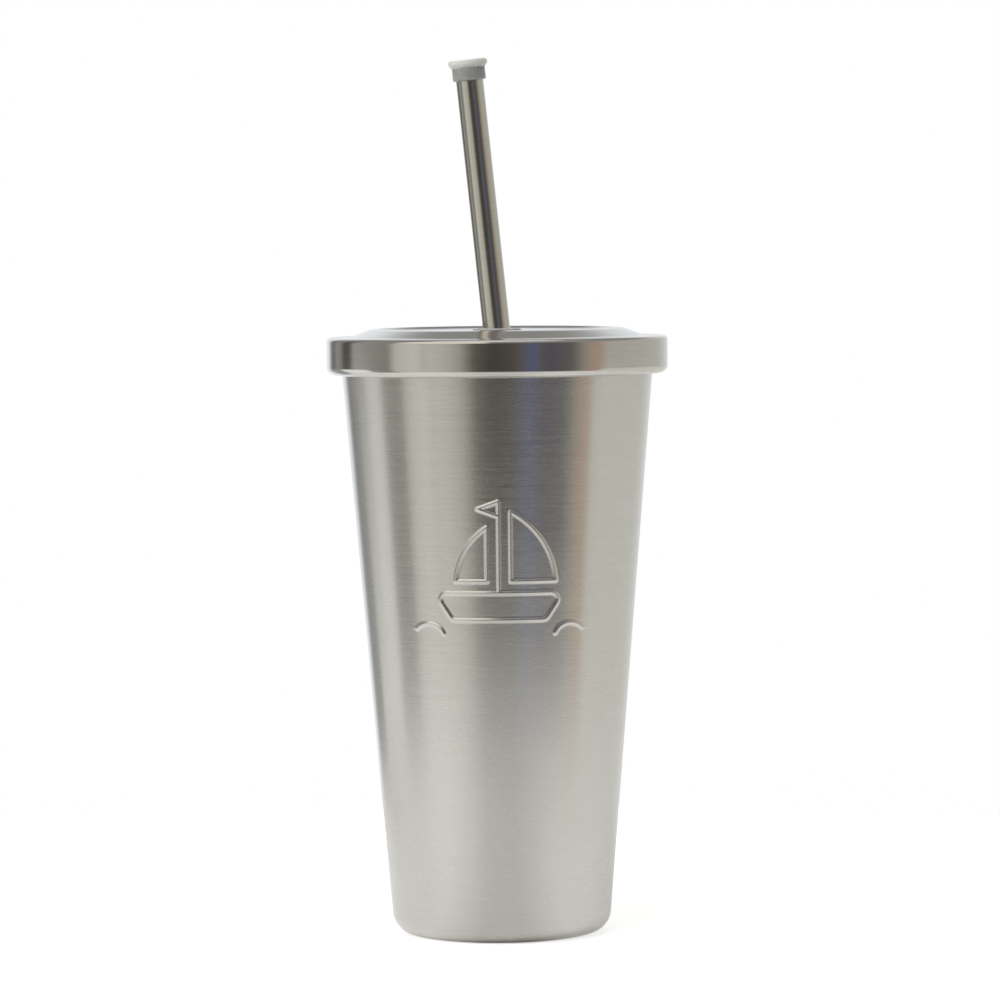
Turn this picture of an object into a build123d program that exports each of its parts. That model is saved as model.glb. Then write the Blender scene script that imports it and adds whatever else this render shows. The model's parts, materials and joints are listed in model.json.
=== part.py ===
"""Insulated steel straw cup: a tapered double-wall cup, a screw lid and a steel straw.

Frame: millimetres, +Z up, origin on the floor at the centre of the base.
The embossed boat faces -Y, and the straw leans towards -X.

Cup:      outer_shell, inner_liner, base_plate, vacuum_seal, getter
Lid:      lid_cover, lid_insert, lid_gasket
Grommet:  straw_grommet (the lid turns round it and the straw slides in it)
Straw:    straw_tube, straw_tip

Sheet-metal pieces are drawn as the middle line of the sheet in a radial section, given
the thickness of the sheet, and turned round the cup's axis.
"""

import os
from math import cos, radians, sin

from build123d import *

# ---- driving dimensions -------------------------------------------------------------
STEEL = 0.6  # thickness of every pressed sheet

# outer shell
BASE_RADIUS = 31.6  # the wall's outer radius, run down to the floor
WALL_SLOPE = 0.0837  # growth of the radius per millimetre of height
BASE_CORNER = 6.0  # between the wall and the foot, on the sheet's middle line
FOOT_INNER_RADIUS = 21.0  # the foot turns up here into the recess
RECESS_DEPTH = 2.6
RIM_Z = 171.2  # top of the rim

# inner liner
WALL_GAP = 3.0  # evacuated space between the two walls
LINER_FLOOR_Z = 7.0
LINER_CORNER = 6.0
SHOULDER_Z = 150.0  # end of the cone
NECK_BOTTOM_Z = 154.5
NECK_RADIUS = 42.6  # inside the threaded neck
SHELL_WELD_GAP = 0.03  # under the flange of the rim

# base
PORT_RADIUS = 1.0  # the hole the air is drawn out through
SEAL_RADIUS = 2.3
SEAL_THICKNESS = 0.7
GETTER_RADIUS = 3.0
GETTER_THICKNESS = 1.2
GETTER_OFFSET = 10.0

# three-start thread in the neck, and the lid's three lugs that ride under its ridges
STARTS = 3
LEAD = 12.0
NECK_RIDGE_Z = 160.0
NECK_RIDGE_START = -30.0  # degrees round from +X
NECK_RIDGE_ARC = 240.0
LUG_START = 2.5
LUG_ARC = 10.0
LUG_DROP = 1.13  # below the middle of the ridge
RIDGE_HEIGHT = 1.05
RIDGE_ROOT_WIDTH = 1.6
RIDGE_CREST_WIDTH = 0.8
RIDGE_SINK = 0.3  # how far a ridge's foot runs into its wall

# lid cover, given by its outer face
LID_RADIUS = 50.0
LID_Z = 175.2  # the flat ring round the lid
BAND_HEIGHT = 8.5
HEM_RADIUS = 46.3
HEM_DROP = 10.95
STEP_RADIUS = 43.2  # foot of the slope
BEAD_RADIUS = 36.9  # outer edge of the raised bead
BEAD_WIDTH = 1.3
BEAD_RISE = 2.4
DISH_RADIUS = 34.4
DISH_RISE = 1.8

# lid insert and gasket
BOND = 0.05  # glue between the cover and the insert
INSERT_WALL = 1.8
GRIP_SKIRT_BOTTOM_Z = 167.3
THREAD_SKIRT_RADIUS = 41.2
THREAD_SKIRT_WALL = 1.6
THREAD_SKIRT_BOTTOM_Z = 157.6
GASKET_FIT = 0.05
GASKET_RADIUS = 46.4

# grommet
HOLE_RADIUS = 5.6  # through the cover and the insert
TURN_CLEARANCE = 0.08  # the lid turns round the grommet's neck
FLANGE_CLEARANCE = 0.05
FLANGE_RADIUS = 7.0
TOP_FLANGE = 0.5
LOWER_FLANGE = 1.3
SLIDE_CLEARANCE = 0.05  # the straw slides in the bore

# straw
STRAW_LEAN = 5.7  # degrees from upright
PIVOT_Z = 176.2  # where the straw's axis crosses the lid's axis
STRAW_RADIUS = 4.0
STRAW_BORE = 3.5
STRAW_FLOOR_GAP = 4.0
STRAW_TOP = 78.6  # along the straw from the pivot
TIP_SLEEVE = 4.4  # length of tube inside the tip
TIP_RADIUS = 4.85
TIP_SLEEVE_TOP = 77.8
TIP_TOP = 80.2
TIP_RIM = 1.3  # height of the rim's side, above the flare
TIP_RIM_RADIUS = 5.7
TIP_LIP = 1.4
TIP_LEDGE = 0.5  # the step that rests on the tube's end

# embossed boat
EMBLEM_Z = 109.0
LINE_WIDTH = 1.6
LINE_RISE = 0.4
LINE_SINK = 0.3

# ---- sizes that follow --------------------------------------------------------------
HALF = STEEL / 2
LUG_Z = NECK_RIDGE_Z + LEAD * (LUG_START - NECK_RIDGE_START) / 360 - LUG_DROP
GASKET_TOP_Z = LID_Z - STEEL - BOND - INSERT_WALL
HOLE_TOP_Z = LID_Z + DISH_RISE
HOLE_BOTTOM_Z = HOLE_TOP_Z - STEEL - BOND - INSERT_WALL
LEAN = radians(STRAW_LEAN)
STRAW_BOTTOM = (
    PIVOT_Z - LINER_FLOOR_Z - STRAW_FLOOR_GAP - STRAW_RADIUS * sin(LEAN)
) / cos(LEAN)
STRAW_PLANE = Plane(
    origin=(0, 0, PIVOT_Z), x_dir=(cos(LEAN), 0, sin(LEAN)), z_dir=(-sin(LEAN), 0, cos(LEAN))
)
STRAW_SECTION = Plane(
    origin=(0, 0, PIVOT_Z), x_dir=(cos(LEAN), 0, sin(LEAN)), z_dir=(0, -1, 0)
)
STRAW_AXIS = Axis((0, 0, PIVOT_Z), (-sin(LEAN), 0, cos(LEAN)))


def shell_radius(z):
    """Outer radius of the shell's wall at height z."""
    return BASE_RADIUS + WALL_SLOPE * z


def liner_middle(z):
    """Radius of the middle of the liner's sheet at height z of the cone."""
    return shell_radius(z) - STEEL - WALL_GAP - HALF


def thread_ridge(wall_radius, direction, start_z, arc):
    """One ridge of the thread, from +X round; direction is -1 inwards, 1 outwards."""
    foot_radius = wall_radius - direction * RIDGE_SINK
    crest = direction * (RIDGE_HEIGHT + RIDGE_SINK)
    with BuildPart() as ridge:
        with BuildLine(Plane.XY.offset(start_z)):
            helix = Helix(LEAD, LEAD * arc / 360, foot_radius)
        with BuildSketch(Plane(origin=helix @ 0, x_dir=(1, 0, 0), z_dir=helix % 0)):
            with BuildLine():
                Polyline(
                    (0, -RIDGE_ROOT_WIDTH / 2),
                    (direction * RIDGE_SINK, -RIDGE_ROOT_WIDTH / 2),
                    (crest, -RIDGE_CREST_WIDTH / 2),
                    (crest, RIDGE_CREST_WIDTH / 2),
                    (direction * RIDGE_SINK, RIDGE_ROOT_WIDTH / 2),
                    (0, RIDGE_ROOT_WIDTH / 2),
                    close=True,
                )
            make_face()
        sweep(is_frenet=True)
    return ridge.part


# ---- cup ----------------------------------------------------------------------------
# the boat's lines, cut out of a thin ring that follows the front of the shell
with BuildPart() as emblem:
    with BuildSketch(Plane(origin=(0, -BASE_RADIUS, EMBLEM_Z), x_dir=(1, 0, 0), z_dir=(0, -1, 0))):
        # hull
        with BuildLine():
            FilletPolyline(
                (-18.5, -6.4),
                (-13.4, -14.2),
                (13.4, -14.2),
                (18.5, -6.4),
                close=True,
                radius=2.0,
            )
        trace(line_width=LINE_WIDTH)
        # mast and pennant
        with BuildLine():
            Line((0, -6.4), (0, 20.0))
        trace(line_width=LINE_WIDTH)
        with BuildLine():
            Polyline((0, 20.0), (-6.0, 17.8), (0, 15.6))
        trace(line_width=LINE_WIDTH)
        # the two sails
        with BuildLine():
            Line((3.4, -3.0), (3.4, 17.0))
            ThreePointArc((3.4, 17.0), (12.6, 8.4), (16.2, -3.0))
            Line((16.2, -3.0), (3.4, -3.0))
        trace(line_width=LINE_WIDTH)
        with BuildLine():
            Line((-3.4, -3.0), (-3.4, 12.6))
            ThreePointArc((-3.4, 12.6), (-9.8, 5.8), (-12.4, -3.0))
            Line((-12.4, -3.0), (-3.4, -3.0))
        trace(line_width=LINE_WIDTH)
        # a wave on each side
        for side in (-1, 1):
            with BuildLine():
                ThreePointArc((side * 16.0, -18.2), (side * 19.8, -15.4), (side * 23.6, -17.0))
            trace(line_width=LINE_WIDTH)
    extrude(amount=BASE_RADIUS)
    with BuildSketch(Plane.XZ):
        with BuildLine():
            low = EMBLEM_Z - 30
            high = EMBLEM_Z + 30
            Polyline(
                (shell_radius(low) - LINE_SINK, low),
                (shell_radius(low) + LINE_RISE, low),
                (shell_radius(high) + LINE_RISE, high),
                (shell_radius(high) - LINE_SINK, high),
                close=True,
            )
        make_face()
    revolve(axis=Axis.Z, mode=Mode.INTERSECT)

with BuildPart() as outer_shell:
    with BuildSketch(Plane.XZ):
        with BuildLine():
            FilletPolyline(
                (FOOT_INNER_RADIUS, RECESS_DEPTH),
                (FOOT_INNER_RADIUS, HALF),
                (shell_radius(HALF) - HALF, HALF),
                (shell_radius(RIM_Z) - HALF, RIM_Z - STEEL - SHELL_WELD_GAP),
                radius=[0.7, BASE_CORNER],
            )
        trace(line_width=STEEL)
    revolve(axis=Axis.Z)
    add(emblem.part)

with BuildPart() as inner_liner:
    with BuildSketch(Plane.XZ):
        with BuildLine():
            FilletPolyline(
                (0, LINER_FLOOR_Z - HALF),
                (liner_middle(LINER_FLOOR_Z), LINER_FLOOR_Z - HALF),
                (liner_middle(SHOULDER_Z), SHOULDER_Z),
                (NECK_RADIUS + HALF, NECK_BOTTOM_Z),
                (NECK_RADIUS + HALF, RIM_Z - HALF),
                (shell_radius(RIM_Z), RIM_Z - HALF),
                radius=[LINER_CORNER, 2.0, 2.0, 1.1],
            )
        trace(line_width=STEEL)
    revolve(axis=Axis.Z)
    neck_ridge = thread_ridge(NECK_RADIUS, -1, NECK_RIDGE_Z, NECK_RIDGE_ARC)
    with PolarLocations(0, STARTS, start_angle=NECK_RIDGE_START):
        add(neck_ridge)

with BuildPart() as base_plate:
    with BuildSketch(Plane.XY.offset(RECESS_DEPTH - STEEL)):
        Circle(FOOT_INNER_RADIUS - HALF)
        Circle(PORT_RADIUS, mode=Mode.SUBTRACT)
    extrude(amount=STEEL)

with BuildPart() as vacuum_seal:
    with BuildSketch(Plane.XY.offset(RECESS_DEPTH - STEEL)):
        Circle(SEAL_RADIUS)
    extrude(amount=-SEAL_THICKNESS)
    fillet(vacuum_seal.faces().sort_by(Axis.Z)[0].edges(), radius=0.4)
    with BuildSketch(Plane.XY.offset(RECESS_DEPTH - STEEL)):
        Circle(PORT_RADIUS)
    extrude(amount=STEEL)

with BuildPart() as getter:
    with BuildSketch(Plane.XY.offset(RECESS_DEPTH)):
        with Locations((GETTER_OFFSET, 0)):
            Circle(GETTER_RADIUS)
    extrude(amount=GETTER_THICKNESS)
    chamfer(getter.faces().sort_by(Axis.Z)[-1].edges(), length=0.3)

# ---- lid ----------------------------------------------------------------------------
with BuildPart() as lid_cover:
    with BuildSketch(Plane.XZ):
        with BuildLine():
            FilletPolyline(
                (HOLE_RADIUS, HOLE_TOP_Z - HALF),
                (DISH_RADIUS, HOLE_TOP_Z - HALF),
                (BEAD_RADIUS - BEAD_WIDTH, LID_Z + BEAD_RISE - HALF),
                (BEAD_RADIUS, LID_Z + BEAD_RISE - HALF),
                (STEP_RADIUS, LID_Z - HALF),
                (LID_RADIUS - HALF, LID_Z - HALF),
                (LID_RADIUS - HALF, LID_Z - BAND_HEIGHT),
                (HEM_RADIUS, LID_Z - HEM_DROP),
                radius=[0.8, 0.4, 0.8, 1.5, 0.9, 1.0],
            )
        trace(line_width=STEEL)
    revolve(axis=Axis.Z)

with BuildPart() as lid_insert:
    with BuildSketch(Plane.XZ):
        with BuildLine():
            FilletPolyline(
                (HOLE_RADIUS, HOLE_BOTTOM_Z + INSERT_WALL / 2),
                (BEAD_RADIUS + 1.2, HOLE_BOTTOM_Z + INSERT_WALL / 2),
                (STEP_RADIUS - 0.4, GASKET_TOP_Z + INSERT_WALL / 2),
                (LID_RADIUS - STEEL - BOND - INSERT_WALL / 2, GASKET_TOP_Z + INSERT_WALL / 2),
                (LID_RADIUS - STEEL - BOND - INSERT_WALL / 2, GRIP_SKIRT_BOTTOM_Z),
                radius=[1.5, 1.5, 1.6],
            )
        trace(line_width=INSERT_WALL)
        with Locations((THREAD_SKIRT_RADIUS, THREAD_SKIRT_BOTTOM_Z)):
            Rectangle(
                THREAD_SKIRT_WALL,
                GASKET_TOP_Z + INSERT_WALL / 2 - THREAD_SKIRT_BOTTOM_Z,
                align=(Align.MAX, Align.MIN),
            )
    revolve(axis=Axis.Z)
    chamfer(lid_insert.edges().group_by(Axis.Z)[0], length=0.5)
    lug = thread_ridge(THREAD_SKIRT_RADIUS, 1, LUG_Z, LUG_ARC)
    with PolarLocations(0, STARTS, start_angle=LUG_START):
        add(lug)

with BuildPart() as lid_gasket:
    with BuildSketch(Plane.XY.offset(RIM_Z + GASKET_FIT)):
        Circle(GASKET_RADIUS)
        Circle(THREAD_SKIRT_RADIUS + GASKET_FIT, mode=Mode.SUBTRACT)
    extrude(amount=GASKET_TOP_Z - RIM_Z - GASKET_FIT)

# ---- grommet ------------------------------------------------------------------------
with BuildPart() as straw_grommet:
    with BuildSketch(Plane.XY.offset(HOLE_BOTTOM_Z - FLANGE_CLEARANCE)):
        Circle(FLANGE_RADIUS)
    extrude(amount=-LOWER_FLANGE)
    with BuildSketch(Plane.XY.offset(HOLE_TOP_Z + FLANGE_CLEARANCE)):
        Circle(FLANGE_RADIUS)
    extrude(amount=TOP_FLANGE)
    with BuildSketch(Plane.XY.offset(HOLE_BOTTOM_Z - FLANGE_CLEARANCE)):
        Circle(HOLE_RADIUS - TURN_CLEARANCE)
    extrude(amount=HOLE_TOP_Z - HOLE_BOTTOM_Z + 2 * FLANGE_CLEARANCE)
    ends = straw_grommet.faces().filter_by(Axis.Z).sort_by(Axis.Z)
    chamfer(ends[0].edges() + ends[-1].edges(), length=0.3)
    with BuildSketch(STRAW_PLANE):
        Circle(STRAW_RADIUS + SLIDE_CLEARANCE)
    extrude(amount=10, both=True, mode=Mode.SUBTRACT)

# ---- straw --------------------------------------------------------------------------
with BuildPart() as straw_tube:
    with BuildSketch(STRAW_PLANE.offset(-STRAW_BOTTOM)):
        Circle(STRAW_RADIUS)
        Circle(STRAW_BORE, mode=Mode.SUBTRACT)
    extrude(amount=STRAW_BOTTOM + STRAW_TOP)

with BuildPart() as straw_tip:
    with BuildSketch(STRAW_SECTION):
        with BuildLine():
            Polyline(
                (STRAW_RADIUS, STRAW_TOP - TIP_SLEEVE),
                (TIP_RADIUS, STRAW_TOP - TIP_SLEEVE),
                (TIP_RADIUS, TIP_SLEEVE_TOP),
                (TIP_RIM_RADIUS, TIP_TOP - TIP_RIM),
                (TIP_RIM_RADIUS, TIP_TOP),
                (TIP_RIM_RADIUS - TIP_LIP, TIP_TOP),
                (STRAW_RADIUS - TIP_LEDGE, STRAW_TOP + 0.4),
                (STRAW_RADIUS - TIP_LEDGE, STRAW_TOP),
                (STRAW_RADIUS, STRAW_TOP),
                close=True,
            )
        make_face()
    revolve(axis=STRAW_AXIS)
    fillet(straw_tip.edges().group_by(STRAW_AXIS)[-1], radius=0.45)

# ---- files --------------------------------------------------------------------------
PARTS = {
    "outer_shell": outer_shell,
    "inner_liner": inner_liner,
    "base_plate": base_plate,
    "vacuum_seal": vacuum_seal,
    "getter": getter,
    "lid_cover": lid_cover,
    "lid_insert": lid_insert,
    "lid_gasket": lid_gasket,
    "straw_grommet": straw_grommet,
    "straw_tube": straw_tube,
    "straw_tip": straw_tip,
}

os.makedirs("parts", exist_ok=True)
for name, piece in PARTS.items():
    piece.part.label = name
    export_step(piece.part, f"parts/{name}.step")
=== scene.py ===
"""Looks of an insulated steel straw cup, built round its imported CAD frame.

Metres, +Z up, the cup's axis on Z, the embossed boat facing -Y.
The outer shell, the lid's cover, the straw and its tip are new meshes that stand for
their CAD nodes. The other CAD nodes stay, with procedural materials of their own.
"""

import json
import math

import bmesh
import bpy
import numpy as np
from mathutils import Matrix, Vector


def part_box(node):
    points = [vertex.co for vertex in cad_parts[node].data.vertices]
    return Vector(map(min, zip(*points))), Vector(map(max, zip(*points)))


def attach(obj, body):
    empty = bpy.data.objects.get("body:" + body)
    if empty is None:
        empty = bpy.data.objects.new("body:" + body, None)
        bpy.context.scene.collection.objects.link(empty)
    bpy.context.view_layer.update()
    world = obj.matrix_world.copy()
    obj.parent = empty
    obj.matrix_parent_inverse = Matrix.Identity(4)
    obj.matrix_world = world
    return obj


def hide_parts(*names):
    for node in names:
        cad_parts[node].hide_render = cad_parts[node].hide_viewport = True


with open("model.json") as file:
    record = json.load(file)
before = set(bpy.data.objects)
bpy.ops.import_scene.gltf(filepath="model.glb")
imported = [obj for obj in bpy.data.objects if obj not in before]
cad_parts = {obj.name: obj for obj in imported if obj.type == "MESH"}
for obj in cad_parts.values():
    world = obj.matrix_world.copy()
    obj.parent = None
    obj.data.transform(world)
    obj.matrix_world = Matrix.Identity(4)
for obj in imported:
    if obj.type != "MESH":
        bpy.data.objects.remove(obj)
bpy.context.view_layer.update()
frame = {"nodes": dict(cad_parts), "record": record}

MM = 0.001
SHEET = 0.6 * MM  # thickness of the pressed steel
SEGMENTS = 256  # round a lathed piece

# ---- places, from the frame ---------------------------------------------------------
SHELL_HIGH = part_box("outer_shell")[1]
COVER_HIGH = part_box("lid_cover")[1]
PLATE_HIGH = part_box("base_plate")[1]
BORE = next(mount for mount in frame["record"]["mounts"] if mount["name"] == "straw_bore")
STRAW_PIVOT = Vector(BORE["pos_m"])
STRAW_AXIS = Vector(BORE["axis"]).normalized()
STRAW_BORE = BORE["dims"]["r_mm"] * MM
STRAW_LENGTH = BORE["dims"]["length_mm"] * MM

# ---- driving dimensions -------------------------------------------------------------
WALL_SLOPE = 0.0837  # how much the wall's radius grows with its height
BASE_CORNER = 6.0 * MM
FOOT_CORNER = 0.7 * MM

BEAD_RISE = 2.4 * MM
BEAD_RADIUS = 36.9 * MM
BEAD_WIDTH = 1.3 * MM
DISH_RADIUS = 34.4 * MM
DISH_RISE = 1.8 * MM
STEP_RADIUS = 43.2 * MM
BAND_HEIGHT = 8.5 * MM
HEM_DROP = 10.95 * MM
ROLL_TURN = 120  # degrees that the lower edge curls in
HOLE_RADIUS = 5.6 * MM
COVER_CORNERS = (0.8, 0.4, 6.5, 5.0, 1.0)  # mm, from the dish's edge out to the band

STRAW_RADIUS = 4.0 * MM
STRAW_TOP = 78.6 * MM  # along the straw from its pivot
STRAW_EDGE = 0.12 * MM
TIP_SLEEVE = 4.4 * MM
TIP_RADIUS = 4.85 * MM
TIP_SLEEVE_TOP = 77.8 * MM
TIP_TOP = 80.2 * MM
TIP_RIM = 1.3 * MM
TIP_RIM_RADIUS = 5.7 * MM
TIP_LIP = 1.4 * MM
TIP_LEDGE = 0.5 * MM  # how far the tip laps over the end of the tube
TIP_LEDGE_EDGE = 0.4 * MM  # height of the ledge's inner edge over the end of the tube
TIP_FIT = 0.02 * MM  # air between the sleeve and the tube
TIP_CORNERS = (0.15, 0.3, 0.6, 0.35, 0.5, 0.5, 0.3, 0.1, 0.1)  # mm, from the sleeve up

EMBLEM_Z = 109.0 * MM
EMBLEM_REACH = 23 * MM  # from its middle to past its lowest and highest lines
EMBLEM_ROWS = (EMBLEM_Z - 22 * MM, EMBLEM_Z + 24 * MM)  # the fine part of the wall's mesh
EMBLEM_ROW_HEIGHT = 0.25 * MM
EMBLEM_SIDE = 38  # degrees round from the front that the fine part reaches
EMBLEM_COLUMNS = 240
PLAIN_COLUMNS = 180
LINE_REACH = 0.85 * MM  # from the middle of a pressed line to its foot
LINE_RISE = 0.4 * MM

CAMERA_DISTANCE = 1.4546
CAMERA_OVER_LID = 30.1 * MM
CAMERA_PITCH = 0.0537  # radians down
CAMERA_ROLL = -0.0086  # radians
CAMERA_SIDE = 0.47 * MM
CAMERA_LENS = 178.6  # focal length in mm
CAMERA_NEAR = 0.05

FLOOR_RADIUS = 0.32
FLOOR_GLOW = 0.26  # as the steel reflects it
FLOOR_GLOW_SEEN = 0.62  # as the camera sees it
FLOOR_PAINTED_SHADE = 0.80  # painted shade: how much less the floor glows in front of the cup
FLOOR_PAINTED_SHADE_SIDES = (12, 45)  # degrees from the front over which that painted shade fades out

# The walls of the studio: degrees round from the front, + to the right, and how bright
# the white cards, the dark flags and the room between them are there.
WALLS = [
    (-180, (0.95, 0.98, 1.03)),
    (-158, (1.00, 1.04, 1.10)),
    (-151, (0.36, 0.37, 0.38)),
    (-145, (0.14, 0.14, 0.14)),
    (-138, (0.38, 0.38, 0.37)),
    (-131, (0.30, 0.30, 0.29)),
    (-126, (0.10, 0.10, 0.09)),
    (-118, (0.10, 0.10, 0.09)),
    (-113, (0.46, 0.46, 0.44)),
    (-98, (0.38, 0.38, 0.35)),
    (-78, (0.30, 0.30, 0.27)),
    (-73, (0.68, 0.68, 0.64)),
    (-56, (0.78, 0.78, 0.73)),
    (-51, (0.62, 0.62, 0.58)),
    (-46, (0.70, 0.70, 0.65)),
    (-32, (0.58, 0.58, 0.53)),
    (-25, (0.46, 0.46, 0.41)),
    (-16, (0.14, 0.135, 0.12)),
    (-4, (0.08, 0.075, 0.065)),
    (8, (0.10, 0.09, 0.08)),
    (16, (0.14, 0.135, 0.125)),
    (21, (0.14, 0.15, 0.22)),
    (24, (0.12, 0.15, 0.32)),
    (28, (0.16, 0.155, 0.155)),
    (33, (0.12, 0.11, 0.14)),
    (52, (0.15, 0.15, 0.14)),
    (61, (0.36, 0.35, 0.31)),
    (67, (0.52, 0.39, 0.30)),
    (73, (0.52, 0.39, 0.30)),
    (79, (0.55, 0.55, 0.50)),
    (140, (0.62, 0.62, 0.59)),
    (180, (0.95, 0.98, 1.03)),
]
CEILING = (0.34, 0.34, 0.33)
CEILING_FADE = (0.34, 0.62)  # where the walls turn into it, as the sine of the elevation

# Cards in front of the walls: degrees round, from and to, how high they start and end (as
# the sine of the elevation) and how bright they are. The three low ones are for the cup's
# wall, which leans and so mirrors what is lower than the lid's band does.
CARDS = [
    (-78, -8, 0.45, 0.85, (1.25, 1.20, 1.08)),
    (-156, -138, -0.60, -0.12, (0.44, 0.44, 0.43)),
    (-132, -98, -0.60, -0.12, (1.10, 1.10, 1.07)),
    (76, 176, -0.60, -0.12, (0.80, 0.80, 0.75)),
    (-360, 360, 0.92, 1.10, (0.95, 0.95, 0.94)),
]
CARD_EDGE_DEGREES = 3.0
CARD_EDGE = 0.012
FILL_POWER = 3.2  # watts
FILL_SIZE = 0.5
FILL_PLACE = (-0.35, -0.50, 0.75)

# Noise has most of its values between these.
BRUSH_VALUES = (0.36, 0.64)
CLOUD_VALUES = (0.35, 0.65)
GRAIN_VALUES = (0.3, 0.7)
RADIUS_TO_HEIGHT = 1.4  # so that brush lines also part from each other on a flat top
FINE_BRUSH = 0.55  # share of the fine lines, against the coarse ones

LID_Z = COVER_HIGH.z - BEAD_RISE
LID_RADIUS = COVER_HIGH.x


# ---- profiles -----------------------------------------------------------------------
def rounded(points, radii, steps=7):
    """An open path through points, with each inner corner turned into an arc."""
    path = [np.array(points[0], float)]
    for before, corner, after, radius in zip(points, points[1:], points[2:], radii):
        corner = np.array(corner, float)
        back = np.array(before, float) - corner
        ahead = np.array(after, float) - corner
        back /= np.linalg.norm(back)
        ahead /= np.linalg.norm(ahead)
        half = math.acos(float(np.clip(back @ ahead, -1, 1))) / 2
        middle = (back + ahead) / np.linalg.norm(back + ahead)
        centre = corner + middle * radius / math.sin(half)
        reach = radius / math.tan(half)
        start = corner + back * reach - centre
        end = corner + ahead * reach - centre
        first = math.atan2(start[1], start[0])
        turn = math.atan2(end[1], end[0]) - first
        turn = (turn + math.pi) % (2 * math.pi) - math.pi
        for angle in np.linspace(first, first + turn, steps):
            path.append(centre + radius * np.array((math.cos(angle), math.sin(angle))))
    path.append(np.array(points[-1], float))
    return np.array(path)


def sheet_outline(path, thickness):
    """The closed outline of a sheet whose middle line is path."""
    along = np.diff(path, axis=0)
    along /= np.linalg.norm(along, axis=1)[:, None]
    normals = np.stack((-along[:, 1], along[:, 0]), axis=1)
    corner = np.vstack((normals[:1], normals[:-1] + normals[1:], normals[-1:]))
    corner /= np.linalg.norm(corner, axis=1)[:, None]
    stretch = np.ones(len(path))
    stretch[1:-1] = 1 / np.maximum((corner[1:-1] * normals[1:]).sum(axis=1), 0.5)
    offset = corner * (stretch * thickness / 2)[:, None]
    return np.vstack((path + offset, (path - offset)[::-1]))


def divided(outline, low, high, step):
    """The outline with its long edges between heights low and high cut into short ones."""
    points = []
    for a, b in zip(outline, np.roll(outline, -1, axis=0)):
        points.append(a)
        length = np.linalg.norm(b - a)
        if length < 4 * step:
            continue
        for t in np.arange(step, length, step) / length:
            point = a + (b - a) * t
            if low < point[1] < high:
                points.append(point)
    return np.array(points)


# ---- meshes -------------------------------------------------------------------------
WELD = 1e-7  # points nearer than this are one


def lathe(name, outline, angles=None):
    """A closed outline of (radius, height) turned round Z into a closed mesh."""
    if angles is None:
        angles = np.linspace(0, 2 * math.pi, SEGMENTS, endpoint=False)
    rows = len(outline)
    columns = len(angles)
    radius = outline[:, 0][:, None]
    grid = np.stack(
        (
            radius * np.cos(angles),
            radius * np.sin(angles),
            np.repeat(outline[:, 1][:, None], columns, axis=1),
        ),
        axis=-1,
    )
    index = np.arange(rows * columns).reshape(rows, columns)
    down = np.roll(index, -1, axis=0)
    faces = np.stack(
        (index, np.roll(index, -1, axis=1), np.roll(down, -1, axis=1), down), axis=-1
    )
    mesh = bpy.data.meshes.new(name)
    mesh.from_pydata(grid.reshape(-1, 3).tolist(), [], faces.reshape(-1, 4).tolist())
    shape = bmesh.new()
    shape.from_mesh(mesh)
    bmesh.ops.remove_doubles(shape, verts=shape.verts, dist=WELD)
    bmesh.ops.recalc_face_normals(shape, faces=shape.faces)
    shape.to_mesh(mesh)
    shape.free()
    smooth(mesh)
    piece = bpy.data.objects.new(name, mesh)
    bpy.context.scene.collection.objects.link(piece)
    return piece


def smooth(mesh, angle=40):
    """Smooth shading that keeps edges sharper than angle degrees."""
    mesh.shade_smooth()
    mesh.set_sharp_from_angle(angle=math.radians(angle))


def stand_for(piece, node, body, material):
    """The piece takes the place of a CAD node on its body, in its material slot."""
    piece.data.materials.append(material)
    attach(piece, body)
    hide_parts(node)


# ---- materials ----------------------------------------------------------------------
class Nodes:
    """A tree of shader nodes, with short calls for those used here."""

    def node(self, kind, inputs=(), **settings):
        made = self.tree.nodes.new("ShaderNode" + kind)
        for key, value in settings.items():
            setattr(made, key, value)
        for socket, value in dict(inputs).items():
            self.join(value, made.inputs[socket])
        return made

    def join(self, value, socket):
        if isinstance(value, bpy.types.NodeSocket):
            self.tree.links.new(value, socket)
        else:
            socket.default_value = value

    def math(self, operation, a, b=0.0):
        return self.node("Math", {0: a, 1: b}, operation=operation).outputs[0]

    def mix(self, factor, a, b):
        inputs = {"Factor": factor, 6: a, 7: b}
        return self.node("Mix", inputs, data_type="RGBA").outputs[2]

    def round_and_up(self, vector):
        """The angle round Z from the front, in radians, + to the right, and the height."""
        x, y, z = self.node("SeparateXYZ", {0: vector}).outputs
        return self.math("ARCTAN2", x, self.math("MULTIPLY", y, -1.0)), z


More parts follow.
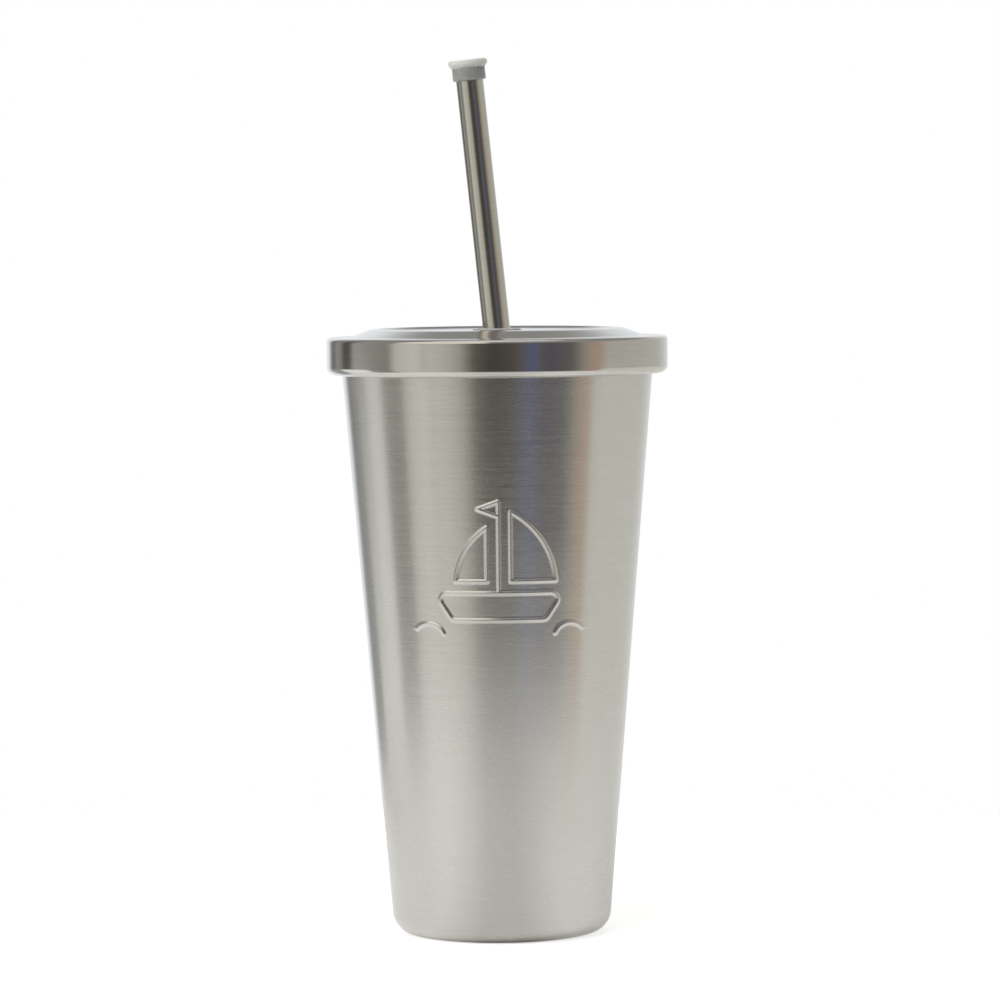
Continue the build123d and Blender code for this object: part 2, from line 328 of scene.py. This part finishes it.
class Graph(Nodes):
    """One material's nodes."""

    def __init__(self, name):
        self.material = bpy.data.materials.new(name)
        self.material.use_nodes = True
        self.tree = self.material.node_tree
        self.shader = self.tree.nodes["Principled BSDF"]

    def noise(self, vector, scale, detail=3.0, roughness=0.6):
        inputs = {"Vector": vector, "Scale": scale, "Detail": detail}
        inputs["Roughness"] = roughness
        return self.node("TexNoise", inputs).outputs["Fac"]

    def remap(self, value, low, high, to_low, to_high):
        inputs = {0: value, 1: low, 2: high, 3: to_low, 4: to_high}
        return self.node("MapRange", inputs).outputs[0]

    def between(self, value, values, a, b):
        """Colour a where value is at the lower of values, b where it is at the upper."""
        return self.mix(self.remap(value, *values, 0.0, 1.0), (*a, 1.0), (*b, 1.0))

    def place(self):
        return self.node("TexCoord").outputs["Object"]

    def round_lines(self, along, across):
        """Coordinates that run slowly round Z and fast across it, for brushing."""
        x, y, z = self.node("SeparateXYZ", {0: self.place()}).outputs
        flat = self.node("CombineXYZ", {0: x, 1: y}).outputs[0]
        radius = self.node("VectorMath", {0: flat}, operation="LENGTH").outputs["Value"]
        height = self.math("ADD", z, self.math("MULTIPLY", radius, RADIUS_TO_HEIGHT))
        return self.node(
            "CombineXYZ",
            {
                0: self.math("MULTIPLY", x, along),
                1: self.math("MULTIPLY", y, along),
                2: self.math("MULTIPLY", height, across),
            },
        ).outputs[0]

    def finish(self, color, roughness, height=None, distance=0.0):
        self.join(color, self.shader.inputs["Base Color"])
        self.join(roughness, self.shader.inputs["Roughness"])
        if height is not None:
            inputs = {"Height": height, "Distance": distance, "Strength": 1.0}
            bump = self.node("Bump", inputs).outputs["Normal"]
            self.join(bump, self.shader.inputs["Normal"])
        return self.material


def steel(name, color, roughness, spread, anisotropy, lines, depth, tone=0.04):
    """Stainless steel brushed round Z.

    lines is how many brush lines a metre has and depth their height in metres. spread and
    tone are how far the roughness and the colour vary from line to line.
    """
    graph = Graph(name)
    shader = graph.shader
    shader.inputs["Metallic"].default_value = 1.0
    shader.inputs["Anisotropic"].default_value = anisotropy
    shader.inputs["Anisotropic Rotation"].default_value = 0.25
    tangent = graph.node("Tangent", direction_type="RADIAL", axis="Z").outputs[0]
    graph.join(tangent, shader.inputs["Tangent"])
    fine = graph.noise(graph.round_lines(lines / 25, lines), 1.0, detail=2.0)
    coarse = graph.noise(graph.round_lines(lines / 110, lines / 4), 1.0, detail=3.0)
    handling = graph.noise(graph.place(), 32.0, detail=4.0)
    brush = graph.math(
        "ADD",
        graph.math("MULTIPLY", fine, FINE_BRUSH),
        graph.math("MULTIPLY", coarse, 1 - FINE_BRUSH),
    )
    dark = [channel * (1 - tone) for channel in color]
    bright = [min(channel * (1 + tone), 1.0) for channel in color]
    shade = graph.between(brush, BRUSH_VALUES, dark, bright)
    rough = graph.math(
        "ADD",
        graph.remap(brush, *BRUSH_VALUES, roughness - spread, roughness + spread),
        graph.remap(handling, 0.35, 0.7, -0.01, 0.02),
    )
    return graph.finish(shade, rough, brush, depth)


def silicone(name, color, roughness, clearness, sleeve=None):
    """Milky silicone, with a fine moulded surface and some cloudiness.

    sleeve is how high a sleeve reaches that sits on steel. Steel seen through silicone is
    a grey, so that is the colour it gets up to there.
    """
    graph = Graph(name)
    shader = graph.shader
    shader.inputs["Subsurface Weight"].default_value = 1.0
    shader.inputs["Subsurface Radius"].default_value = (0.004, 0.004, 0.0035)
    shader.inputs["Subsurface Scale"].default_value = 0.4
    shader.inputs["Transmission Weight"].default_value = clearness
    shader.inputs["IOR"].default_value = 1.41
    cloud = graph.noise(graph.place(), 260.0, detail=3.0)
    grain = graph.noise(graph.place(), 2600.0, detail=1.0)
    dark = [channel * 0.95 for channel in color]
    tone = graph.between(cloud, CLOUD_VALUES, dark, color)
    if sleeve is not None:
        height = graph.node("SeparateXYZ", {0: graph.place()}).outputs["Z"]
        rim = graph.remap(height, sleeve - 0.3 * MM, sleeve + 0.5 * MM, 0.0, 1.0)
        tone = graph.mix(rim, (0.47, 0.48, 0.48, 1.0), tone)
    rough = graph.remap(cloud, *GRAIN_VALUES, roughness - 0.05, roughness + 0.07)
    return graph.finish(tone, rough, grain, 6e-6)


def moulded_plastic(name, color):
    """Satin polypropylene with a fine spark-eroded grain."""
    graph = Graph(name)
    grain = graph.noise(graph.place(), 2400.0, detail=3.0)
    patch = graph.noise(graph.place(), 45.0, detail=3.0)
    bright = [channel * 1.15 for channel in color]
    tone = graph.between(patch, CLOUD_VALUES, color, bright)
    rough = graph.remap(grain, *GRAIN_VALUES, 0.38, 0.50)
    return graph.finish(tone, rough, grain, 4e-5)


# ---- outer shell --------------------------------------------------------------------
def arc(start, through, end, steps=16):
    """Points of the circle's arc that runs from start over through to end."""
    a, b, c = (complex(*point) for point in (start, through, end))
    w = (c - a) / (b - a)
    centre = a + (b - a) * (w - abs(w) ** 2) / (2j * w.imag)
    turn = np.angle((b - centre) / (a - centre)) + np.angle((c - centre) / (b - centre))
    points = centre + (a - centre) * np.exp(1j * np.linspace(0, turn, steps))
    return [(point.real, point.imag) for point in points]


def emblem_strokes():
    """The boat's pressed lines, in millimetres round the middle of the picture."""
    deck, keel = -6.4, -14.2
    hull = [(0, deck), (-18.5, deck), (-13.4, keel), (13.4, keel), (18.5, deck), (0, deck)]
    mast = [(0, deck), (0, 20.0)]
    pennant = [(0, 20.0), (-6.0, 17.8), (0, 15.6)]
    near, foot = 3.4, -3.0
    main_sail = arc((near, 17.0), (12.6, 8.4), (16.2, foot))
    fore_sail = arc((-near, 12.6), (-9.8, 5.8), (-12.4, foot))
    strokes = [
        rounded(hull, [2.0] * 4),
        mast,
        pennant,
        [(near, foot), *main_sail, (near, foot)],
        [(-near, foot), *fore_sail, (-near, foot)],
    ]
    for side in (-1, 1):
        wave = arc((side * 16.0, -18.2), (side * 19.8, -15.4), (side * 23.6, -17.0))
        strokes.append(wave)
    return [np.array(stroke) * MM for stroke in strokes]


def distance_to_strokes(points, strokes):
    """How far each (x, z) point is from the nearest stroke."""
    nearest = np.full(len(points), 1.0)
    for stroke in strokes:
        for a, b in zip(stroke, stroke[1:]):
            side = b - a
            t = np.clip(((points - a) @ side) / (side @ side), 0, 1)
            gap = np.linalg.norm(points - (a + t[:, None] * side), axis=1)
            nearest = np.minimum(nearest, gap)
    return nearest


def make_outer_shell(material):
    """The tapered wall and the foot, with the boat pressed out of its front."""
    base = SHELL_HIGH.x - WALL_SLOPE * SHELL_HIGH.z
    half = SHEET / 2
    recess = PLATE_HIGH.z
    foot = PLATE_HIGH.x + half
    wall = [
        (foot, recess),
        (foot, half),
        (base + WALL_SLOPE * half - half, half),
        (SHELL_HIGH.x - half, SHELL_HIGH.z),
    ]
    outline = sheet_outline(rounded(wall, [FOOT_CORNER, BASE_CORNER], steps=12), SHEET)
    outline = divided(outline, *EMBLEM_ROWS, EMBLEM_ROW_HEIGHT)
    side = math.radians(EMBLEM_SIDE)
    fine = np.linspace(-side, side, EMBLEM_COLUMNS) - math.pi / 2
    coarse = np.linspace(side, 2 * math.pi - side, PLAIN_COLUMNS)[1:-1] - math.pi / 2
    piece = lathe("outer_shell_visual", outline, np.concatenate((fine, coarse)))

    mesh = piece.data
    place = np.zeros(len(mesh.vertices) * 3)
    mesh.vertices.foreach_get("co", place)
    place = place.reshape(-1, 3)
    height = place[:, 2]
    outside = np.hypot(place[:, 0], place[:, 1]) > base + WALL_SLOPE * height - half
    pressed = outside & (place[:, 1] < 0) & (abs(height - EMBLEM_Z) < EMBLEM_REACH)
    flat = place[pressed][:, (0, 2)] - (0, EMBLEM_Z)
    gap = distance_to_strokes(flat, emblem_strokes()) / LINE_REACH
    rise = LINE_RISE * (1 + np.cos(math.pi * np.clip(gap, 0, 1))) / 2
    outward = place[pressed] * (1, 1, 0)
    outward /= np.linalg.norm(outward, axis=1)[:, None]
    place[pressed] += outward * rise[:, None]
    mesh.vertices.foreach_set("co", place.ravel())
    mesh.update()
    smooth(mesh)
    stand_for(piece, "outer_shell", "cup", material)


# ---- lid ----------------------------------------------------------------------------
def make_lid_cover(material):
    """The pressed steel cover: dish, bead, soft slope, flat ring, band and rolled edge."""
    half = SHEET / 2
    top = [
        (HOLE_RADIUS, LID_Z + DISH_RISE - half),
        (DISH_RADIUS, LID_Z + DISH_RISE - half),
        (BEAD_RADIUS - BEAD_WIDTH, LID_Z + BEAD_RISE - half),
        (BEAD_RADIUS, LID_Z + BEAD_RISE - half),
        (STEP_RADIUS, LID_Z - half),
        (LID_RADIUS - half, LID_Z - half),
        (LID_RADIUS - half, LID_Z - BAND_HEIGHT),
    ]
    radii = [radius * MM for radius in COVER_CORNERS]
    roll = HEM_DROP - BAND_HEIGHT
    centre = np.array((LID_RADIUS - roll, LID_Z - BAND_HEIGHT))
    turns = np.radians(np.linspace(0, -ROLL_TURN, 16))[1:]
    rolled = centre + (roll - half) * np.stack((np.cos(turns), np.sin(turns)), axis=1)
    path = np.vstack((rounded(top, radii, steps=12), rolled))
    piece = lathe("lid_cover_visual", sheet_outline(path, SHEET))
    stand_for(piece, "lid_cover", "lid", material)


# ---- straw --------------------------------------------------------------------------
def lean(piece):
    """Puts a piece lathed round Z on the straw's axis, with its origin at the pivot."""
    turn = Vector((0, 0, 1)).rotation_difference(STRAW_AXIS).to_matrix().to_4x4()
    piece.matrix_world = Matrix.Translation(STRAW_PIVOT) @ turn


def make_straw(material):
    """The straight tube, with its cut ends' edges taken off."""
    low, high = STRAW_TOP - STRAW_LENGTH, STRAW_TOP
    start = (STRAW_BORE, (low + high) / 2)
    corners = [
        start,
        (STRAW_BORE, low),
        (STRAW_RADIUS, low),
        (STRAW_RADIUS, high),
        (STRAW_BORE, high),
        start,
    ]
    piece = lathe("straw_tube_visual", rounded(corners, [STRAW_EDGE] * 4, steps=4)[:-1])
    lean(piece)
    stand_for(piece, "straw_tube", "straw", material)


def make_straw_tip(material):
    """The soft tip: a sleeve over the tube's end, a flare and a thick rim."""
    sleeve_low = STRAW_TOP - TIP_SLEEVE
    inside = STRAW_RADIUS + TIP_FIT
    bore = STRAW_RADIUS - TIP_LEDGE
    start = (inside, (sleeve_low + STRAW_TOP) / 2)
    corners = [
        start,
        (inside, sleeve_low),
        (TIP_RADIUS, sleeve_low),
        (TIP_RADIUS, TIP_SLEEVE_TOP),
        (TIP_RIM_RADIUS, TIP_TOP - TIP_RIM),
        (TIP_RIM_RADIUS, TIP_TOP),
        (TIP_RIM_RADIUS - TIP_LIP, TIP_TOP),
        (bore, STRAW_TOP + TIP_LEDGE_EDGE),
        (bore, STRAW_TOP + TIP_FIT),
        (inside, STRAW_TOP + TIP_FIT),
        start,
    ]
    radii = [radius * MM for radius in TIP_CORNERS]
    piece = lathe("straw_tip_visual", rounded(corners, radii)[:-1])
    lean(piece)
    stand_for(piece, "straw_tip", "straw", material)


# ---- stage, light and camera --------------------------------------------------------
def make_floor():
    """A round white table top, lit so that its far edge is lost in white. The glow that the
    steel reflects is darker in front of the cup: a painted shade on the floor.
    """
    graph = Graph("floor_white")
    grain = graph.noise(graph.place(), 60.0)
    aside = graph.math("ABSOLUTE", graph.round_and_up(graph.place())[0])
    sides = (math.radians(degrees) for degrees in FLOOR_PAINTED_SHADE_SIDES)
    # painted shade: the floor glows less in front of the cup, and the steel mirrors that
    # darker patch
    front = graph.remap(aside, *sides, 1.0, 0.0)
    reflected = graph.remap(front, 0.0, 1.0, FLOOR_GLOW, FLOOR_GLOW * (1 - FLOOR_PAINTED_SHADE))
    seen = graph.node("LightPath").outputs["Is Camera Ray"]
    glow = graph.remap(seen, 0.0, 1.0, reflected, FLOOR_GLOW_SEEN)
    graph.join(glow, graph.shader.inputs["Emission Strength"])
    graph.shader.inputs["Emission Color"].default_value = (1.0, 1.0, 0.99, 1.0)
    tone = graph.mix(grain, (0.86, 0.86, 0.86, 1.0), (0.90, 0.90, 0.90, 1.0))
    material = graph.finish(tone, 0.8)
    floor = bpy.data.meshes.new("floor")
    shape = bmesh.new()
    bmesh.ops.create_circle(shape, cap_ends=True, segments=128, radius=FLOOR_RADIUS)
    shape.to_mesh(floor)
    shape.free()
    floor.materials.append(material)
    disc = bpy.data.objects.new("floor", floor)
    bpy.context.scene.collection.objects.link(disc)


class World(Nodes):
    """The studio's nodes. azimuth is in degrees round from the front, + to the right."""

    def __init__(self):
        world = bpy.data.worlds.new("studio")
        bpy.context.scene.world = world
        world.use_nodes = True
        self.tree = world.node_tree
        self.tree.nodes.clear()
        direction = self.node("TexCoord").outputs["Generated"]
        turn, self.z = self.round_and_up(direction)
        self.azimuth = self.math("DEGREES", turn)

    def fade(self, value, off, on):
        """0 where value is at off or beyond it, and 1 from on onwards."""
        rising = on > off
        low, high = min(off, on), max(off, on)
        inputs = {0: value, 1: low, 2: high, 3: 1.0 - rising, 4: float(rising)}
        return self.node("MapRange", inputs, interpolation_type="SMOOTHSTEP").outputs[0]

    def window(self, value, low, high, edge):
        """1 between low and high, with soft edges."""
        start = self.fade(value, low - edge, low + edge)
        end = self.fade(value, high + edge, high - edge)
        return self.math("MULTIPLY", start, end)


def make_studio():
    """World light: walls, flags and cards round the cup, and plain white to the camera."""
    world = World()
    share = world.math("ADD", world.math("DIVIDE", world.azimuth, 360.0), 0.5)
    ramp = world.node("ValToRGB", {0: share})
    stops = ramp.color_ramp.elements
    stops.remove(stops[-1])
    for number, (degrees, color) in enumerate(WALLS):
        position = degrees / 360 + 0.5
        stop = stops[0] if number == 0 else stops.new(position)
        stop.position = position
        stop.color = (*color, 1.0)
    overhead = world.fade(world.z, *CEILING_FADE)
    light = world.mix(overhead, ramp.outputs[0], (*CEILING, 1.0))
    for left, right, low, high, color in CARDS:
        across = world.window(world.azimuth, left, right, CARD_EDGE_DEGREES)
        upright = world.window(world.z, low, high, CARD_EDGE)
        light = world.mix(world.math("MULTIPLY", across, upright), light, (*color, 1.0))
    seen = world.node("LightPath").outputs["Is Camera Ray"]
    light = world.mix(seen, light, (1.0, 1.0, 1.0, 1.0))
    background = world.node("Background", {0: light})
    world.node("OutputWorld", {0: background.outputs[0]})


def make_fill():
    """A soft lamp that only lights what isn't polished: the silicone, plastic and floor."""
    data = bpy.data.lights.new("fill", "AREA")
    data.size = FILL_SIZE
    data.energy = FILL_POWER
    lamp = bpy.data.objects.new("fill", data)
    lamp.location = FILL_PLACE
    lamp.rotation_euler = (-Vector(FILL_PLACE)).to_track_quat("-Z", "Y").to_euler()
    lamp.visible_glossy = False
    lamp.visible_camera = False
    bpy.context.scene.collection.objects.link(lamp)


def make_camera():
    """The camera: from far away in front, a little higher than the lid."""
    data = bpy.data.cameras.new("camera")
    data.lens = CAMERA_LENS
    data.clip_start = CAMERA_NEAR
    camera = bpy.data.objects.new("camera", data)
    camera.location = (CAMERA_SIDE, -CAMERA_DISTANCE, LID_Z + CAMERA_OVER_LID)
    tilt = Matrix.Rotation(math.pi / 2 - CAMERA_PITCH, 3, "X")
    roll = Matrix.Rotation(CAMERA_ROLL, 3, "Z")
    camera.rotation_euler = (tilt @ roll).to_euler()
    bpy.context.scene.collection.objects.link(camera)
    bpy.context.scene.camera = camera


# ---- the whole scene ----------------------------------------------------------------
# Colour, roughness, how far that varies, anisotropy, brush lines a metre and their height.
STEELS = {
    "body_steel": ((0.63, 0.62, 0.59), 0.255, 0.025, 0.62, 4500.0, 1.5e-6),
    "lid_steel": ((0.60, 0.58, 0.55), 0.15, 0.02, 0.40, 5000.0, 1e-6),
    "inner_steel": ((0.62, 0.61, 0.59), 0.34, 0.05, 0.60, 2600.0, 3e-6),
    "spun_steel": ((0.60, 0.59, 0.57), 0.30, 0.06, 0.70, 1800.0, 4e-6),
    "dull_steel": ((0.34, 0.33, 0.31), 0.50, 0.05, 0.00, 900.0, 1e-5),
    "straw_steel": ((0.58, 0.56, 0.51), 0.12, 0.02, 0.30, 3600.0, 1e-6),
}
looks = {name: steel(name, *values) for name, values in STEELS.items()}
tip_silicone = silicone("tip_silicone", (0.98, 0.96, 0.92), 0.25, 0.25, TIP_SLEEVE_TOP)
grommet_silicone = silicone("grommet_silicone", (0.92, 0.92, 0.90), 0.34, 0.45)
gasket_silicone = silicone("gasket_silicone", (0.90, 0.90, 0.87), 0.36, 0.30)
black_plastic = moulded_plastic("black_plastic", (0.028, 0.028, 0.030))

make_outer_shell(looks["body_steel"])
make_lid_cover(looks["lid_steel"])
make_straw(looks["straw_steel"])
make_straw_tip(tip_silicone)

KEPT = {
    "inner_liner": looks["inner_steel"],
    "base_plate": looks["spun_steel"],
    "vacuum_seal": looks["dull_steel"],
    "getter": looks["dull_steel"],
    "lid_insert": black_plastic,
    "lid_gasket": gasket_silicone,
    "straw_grommet": grommet_silicone,
}
for node_name, material in KEPT.items():
    kept = frame["nodes"][node_name]
    kept.data.materials.clear()
    kept.data.materials.append(material)
    smooth(kept.data, 30)

make_floor()
make_studio()
make_fill()
make_camera()
bpy.context.scene.view_settings.view_transform = "Standard"
